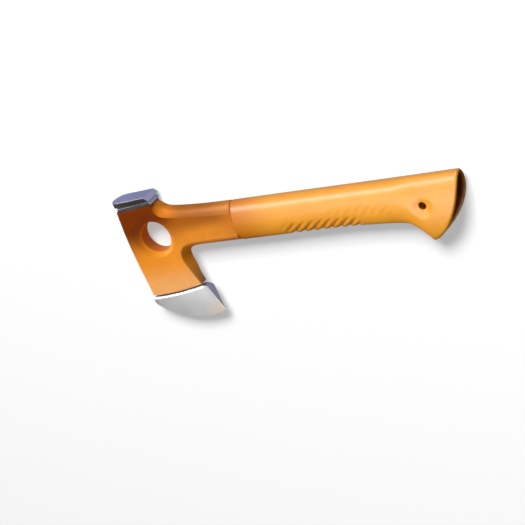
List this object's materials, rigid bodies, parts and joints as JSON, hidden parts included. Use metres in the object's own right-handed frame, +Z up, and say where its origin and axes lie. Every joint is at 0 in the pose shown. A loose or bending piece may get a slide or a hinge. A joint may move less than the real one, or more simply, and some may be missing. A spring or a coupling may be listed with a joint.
{
  "type": "hatchet",
  "caption": "Short one-hand hatchet: moulded orange head casing and hollow handle round a steel bit and hammer poll, with a finger hole through the head and a lanyard hole at the butt.",
  "frame": {"origin": "middle of the outline on the resting plane, the hatchet lying on its side", "axes": "+X along the handle from head to butt, +Y from the cutting edge to the hammer face, +Z up through the thickness"},
  "size_m": [0.3292, 0.1194, 0.0252],
  "materials": {
    "polished_steel": "polished",
    "ground_steel": "ground",
    "raw_steel": "raw",
    "casing_orange": "semi-gloss",
    "handle_orange": "satin, finely grained",
    "dark_polymer": "matt"
  },
  "bodies": {
    "root": {"cutting_bit": "polished_steel", "hammer_cap": "polished_steel", "poll_block": "ground_steel", "core_plate": "raw_steel", "head_casing": "casing_orange", "handle_shell": "handle_orange", "lanyard_sleeve": "dark_polymer", "butt_plug": "dark_polymer", "poll_rivet_front": "raw_steel", "poll_rivet_rear": "raw_steel", "bit_rivet_front": "raw_steel", "bit_rivet_rear": "raw_steel", "tang_pin_front": "raw_steel", "tang_pin_rear": "raw_steel"}
  },
  "joints": []
}
